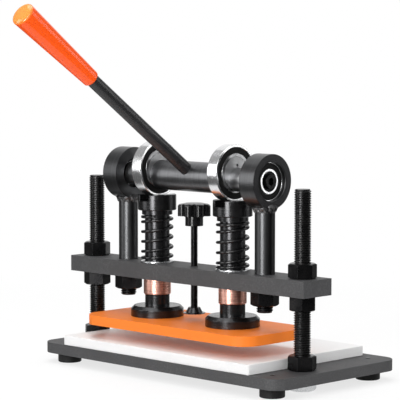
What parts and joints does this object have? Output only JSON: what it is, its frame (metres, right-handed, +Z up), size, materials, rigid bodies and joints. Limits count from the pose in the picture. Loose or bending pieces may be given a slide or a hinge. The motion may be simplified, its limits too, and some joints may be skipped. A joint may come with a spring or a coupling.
{
  "type": "manual die cutting machine",
  "caption": "Bench press for cutting dies: a hand lever turns an eccentric shaft whose bearings push two sprung rams and an orange plate down on a white board.",
  "frame": {"origin": "on the table, midway between the columns, in the plane of columns, rams and shaft", "axes": "+X along the crossbeam to the right of the picture, +Y to the side that the base reaches further out on, +Z up"},
  "size_m": [0.375, 0.3832, 0.4066],
  "materials": {
    "base_coat": "matte charcoal powder coat",
    "foot_rubber": "matte black rubber",
    "board_plastic": "white polyethylene, faintly glossy",
    "black_oxide": "black oxide, oiled",
    "zinc": "bright zinc plate",
    "bush_copper": "turned copper alloy, fine brushed rings",
    "post_steel": "machined, dark satin",
    "bearing_steel": "ground and polished",
    "seal_rubber": "matte black rubber",
    "shaft_steel": "turned, satin grey",
    "spacer_steel": "turned, satin grey",
    "bar_black": "semi-gloss black",
    "grip_plastic": "glossy orange-red",
    "ram_black": "polished black oxide",
    "spring_black": "glossy black enamel",
    "plate_orange": "satin orange powder coat",
    "knob_plastic": "glossy black"
  },
  "bodies": {
    "base": {"base_plate": "base_coat", "rubber_feet": "foot_rubber", "foot_screws": "black_oxide", "left_column": "black_oxide", "right_column": "black_oxide", "column_base_nuts": "black_oxide", "column_lock_nuts": "zinc"},
    "board": {"cutting_board": "board_plastic"},
    "beam": {"crossbeam": "base_coat", "beam_lower_nuts": "black_oxide", "beam_upper_nuts": "black_oxide", "left_bush": "bush_copper", "right_bush": "bush_copper", "left_post": "post_steel", "right_post": "post_steel", "post_nuts": "black_oxide", "left_end_outer_ring": "bearing_steel", "right_end_outer_ring": "bearing_steel", "left_end_seals": "seal_rubber", "right_end_seals": "seal_rubber", "spring_washers": "zinc", "left_spring": "spring_black", "right_spring": "spring_black"},
    "shaft": {"eccentric_shaft": "shaft_steel", "shaft_spacers": "spacer_steel", "shaft_end_screws": "black_oxide", "lever_bar": "bar_black", "lever_grip": "grip_plastic", "left_end_inner_ring": "bearing_steel", "right_end_inner_ring": "bearing_steel", "left_end_balls": "bearing_steel", "right_end_balls": "bearing_steel", "left_cam_inner_ring": "bearing_steel", "right_cam_inner_ring": "bearing_steel", "left_cam_balls": "bearing_steel", "right_cam_balls": "bearing_steel"},
    "left_cam": {"left_cam_outer_ring": "bearing_steel", "left_cam_seals": "seal_rubber"},
    "right_cam": {"right_cam_outer_ring": "bearing_steel", "right_cam_seals": "seal_rubber"},
    "rams": {"left_ram": "ram_black", "right_ram": "ram_black", "left_ram_cap": "ram_black", "right_ram_cap": "ram_black", "cap_screws": "black_oxide", "pressing_plate": "plate_orange", "plate_screws": "zinc"},
    "stop_pad": {"stop_pad": "black_oxide"},
    "stop_screw": {"stop_screw": "black_oxide", "star_knob": "knob_plastic"}
  },
  "joints": [
    {"name": "board_slide", "type": "slide", "parent": "base", "child": "board", "axis": [0, 1, 0], "range_m": [0, 0.08]},
    {"name": "beam_height", "type": "slide", "parent": "base", "child": "beam", "axis": [0, 0, 1], "range_m": [-0.004, 0.06]},
    {"name": "lever_swing", "type": "hinge", "parent": "beam", "child": "shaft", "pos_m": [0, 0, 0.22], "axis": [-1, 0, 0], "range_deg": [0, 160]},
    {"name": "plate_press", "type": "slide", "parent": "beam", "child": "rams", "axis": [0, 0, -1], "range_m": [0, 0.0076], "stiffness_N_per_m": 15800, "springref_m": -0.006, "deforming": ["left_spring", "right_spring"]},
    {"name": "left_cam_spin", "type": "hinge", "parent": "shaft", "child": "left_cam", "pos_m": [-0.0594, -0.00198, 0.22692], "axis": [1, 0, 0], "continuous": true},
    {"name": "right_cam_spin", "type": "hinge", "parent": "shaft", "child": "right_cam", "pos_m": [0.0594, -0.00198, 0.22692], "axis": [1, 0, 0], "continuous": true},
    {"name": "stop_travel", "type": "slide", "parent": "beam", "child": "stop_pad", "axis": [0, 0, 1], "range_m": [-0.0075, 0.01]},
    {"name": "stop_turn", "type": "hinge", "parent": "stop_pad", "child": "stop_screw", "pos_m": [0, 0, 0.07], "axis": [0, 0, 1], "range_deg": [-2161, 2881]}
  ],
  "couplings": [
    {"joint": "plate_press", "follows": "lever_swing", "m_per_rad": 0.0027},
    {"joint": "stop_turn", "follows": "stop_travel", "rad_per_m": 5026.5}
  ]
}
